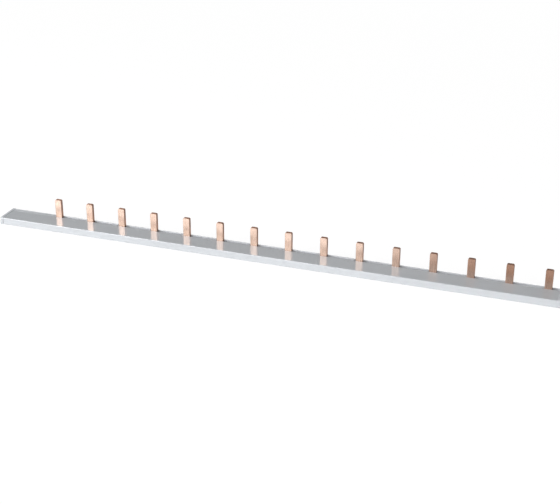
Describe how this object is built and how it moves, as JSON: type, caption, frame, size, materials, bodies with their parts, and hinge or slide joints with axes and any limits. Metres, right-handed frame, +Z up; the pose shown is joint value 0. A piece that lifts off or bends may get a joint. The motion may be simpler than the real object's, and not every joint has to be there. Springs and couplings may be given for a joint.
{
  "type": "comb busbar",
  "caption": "Single-phase comb busbar: a bent copper comb in a slotted grey plastic channel with end caps, for linking a row of modular circuit breakers.",
  "frame": {"origin": "middle of the underside", "axes": "+X along the bar towards the end with a pin close to it, +Y towards the slotted rear edge, +Z up along the pins"},
  "size_m": [0.2852, 0.0136, 0.013],
  "materials": {
    "profile_plastic": "smooth extruded rigid PVC, light grey, semi-gloss",
    "copper": "bright bare copper, rolled and stamped, no plating",
    "cap_plastic": "moulded light grey plastic, semi-gloss"
  },
  "bodies": {
    "root": {"insulating_profile": "profile_plastic", "copper_comb": "copper", "left_end_cap": "cap_plastic", "right_end_cap": "cap_plastic"}
  },
  "joints": []
}
